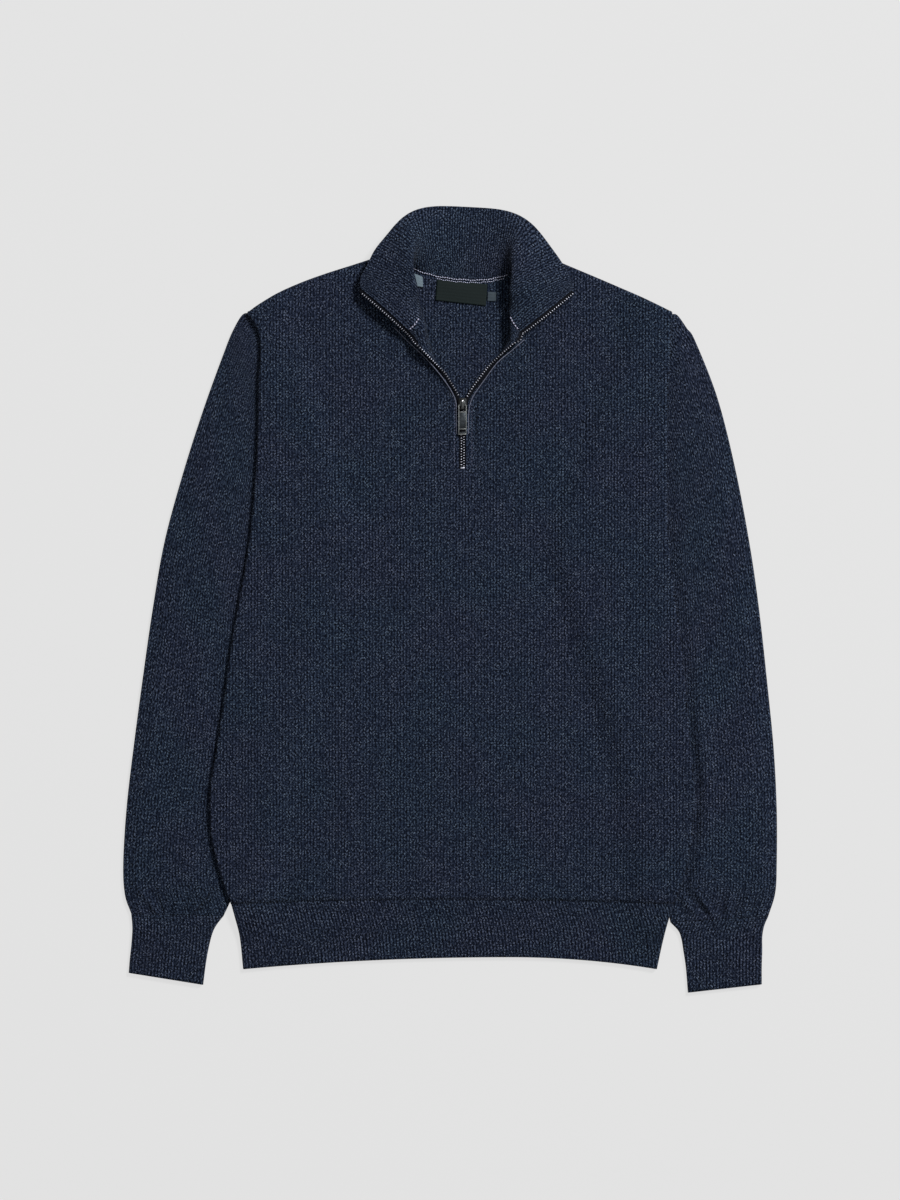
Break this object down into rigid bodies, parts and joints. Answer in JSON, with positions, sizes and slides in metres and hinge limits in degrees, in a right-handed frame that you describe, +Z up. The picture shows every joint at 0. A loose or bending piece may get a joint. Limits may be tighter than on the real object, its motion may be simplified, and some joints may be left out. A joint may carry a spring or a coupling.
{
  "type": "quarter zip sweater",
  "caption": "Knitted quarter zip sweater laid flat on its back, turned-out stand collar open in a V, metal zip, ribbed hem and cuffs, sleeves folded partly under the body.",
  "frame": {"origin": "centre of the bounding box's base, on the surface that the sweater lies on", "axes": "+Z up from that surface, +Y from the hem to the collar, +X to the right of someone who looks at the front"},
  "size_m": [0.6542, 0.7847, 0.0281],
  "materials": {
    "knit": "fine melange knit in dark navy, matt, with raised ribs on the hem, the cuffs and the collar",
    "zip_tape": "dark woven tape that carries a row of silver-coloured metal teeth",
    "zip_metal": "satin nickel, slightly worn at its edges",
    "label_green": "woven satin in dark grey green, left blank",
    "label_grey": "woven satin in grey, left blank",
    "label_white": "printed-label satin in bluish white, left blank"
  },
  "bodies": {
    "garment": {"front": "knit", "back": "knit", "hem_rib": "knit", "sleeve_left": "knit", "sleeve_right": "knit", "cuff_left": "knit", "cuff_right": "knit", "collar": "knit", "zip_half_left": "zip_tape", "zip_half_right": "zip_tape", "zip_slider": "zip_metal", "label_main": "label_green", "label_size": "label_grey", "label_care": "label_white"},
    "pull_tab": {"zip_pull": "zip_metal"}
  },
  "joints": [
    {"name": "pull_tab_swing", "type": "hinge", "parent": "garment", "child": "pull_tab", "pos_m": [0.0125, 0.1982, 0.0093], "axis": [-1, 0, 0], "range_deg": [0, 150]}
  ]
}
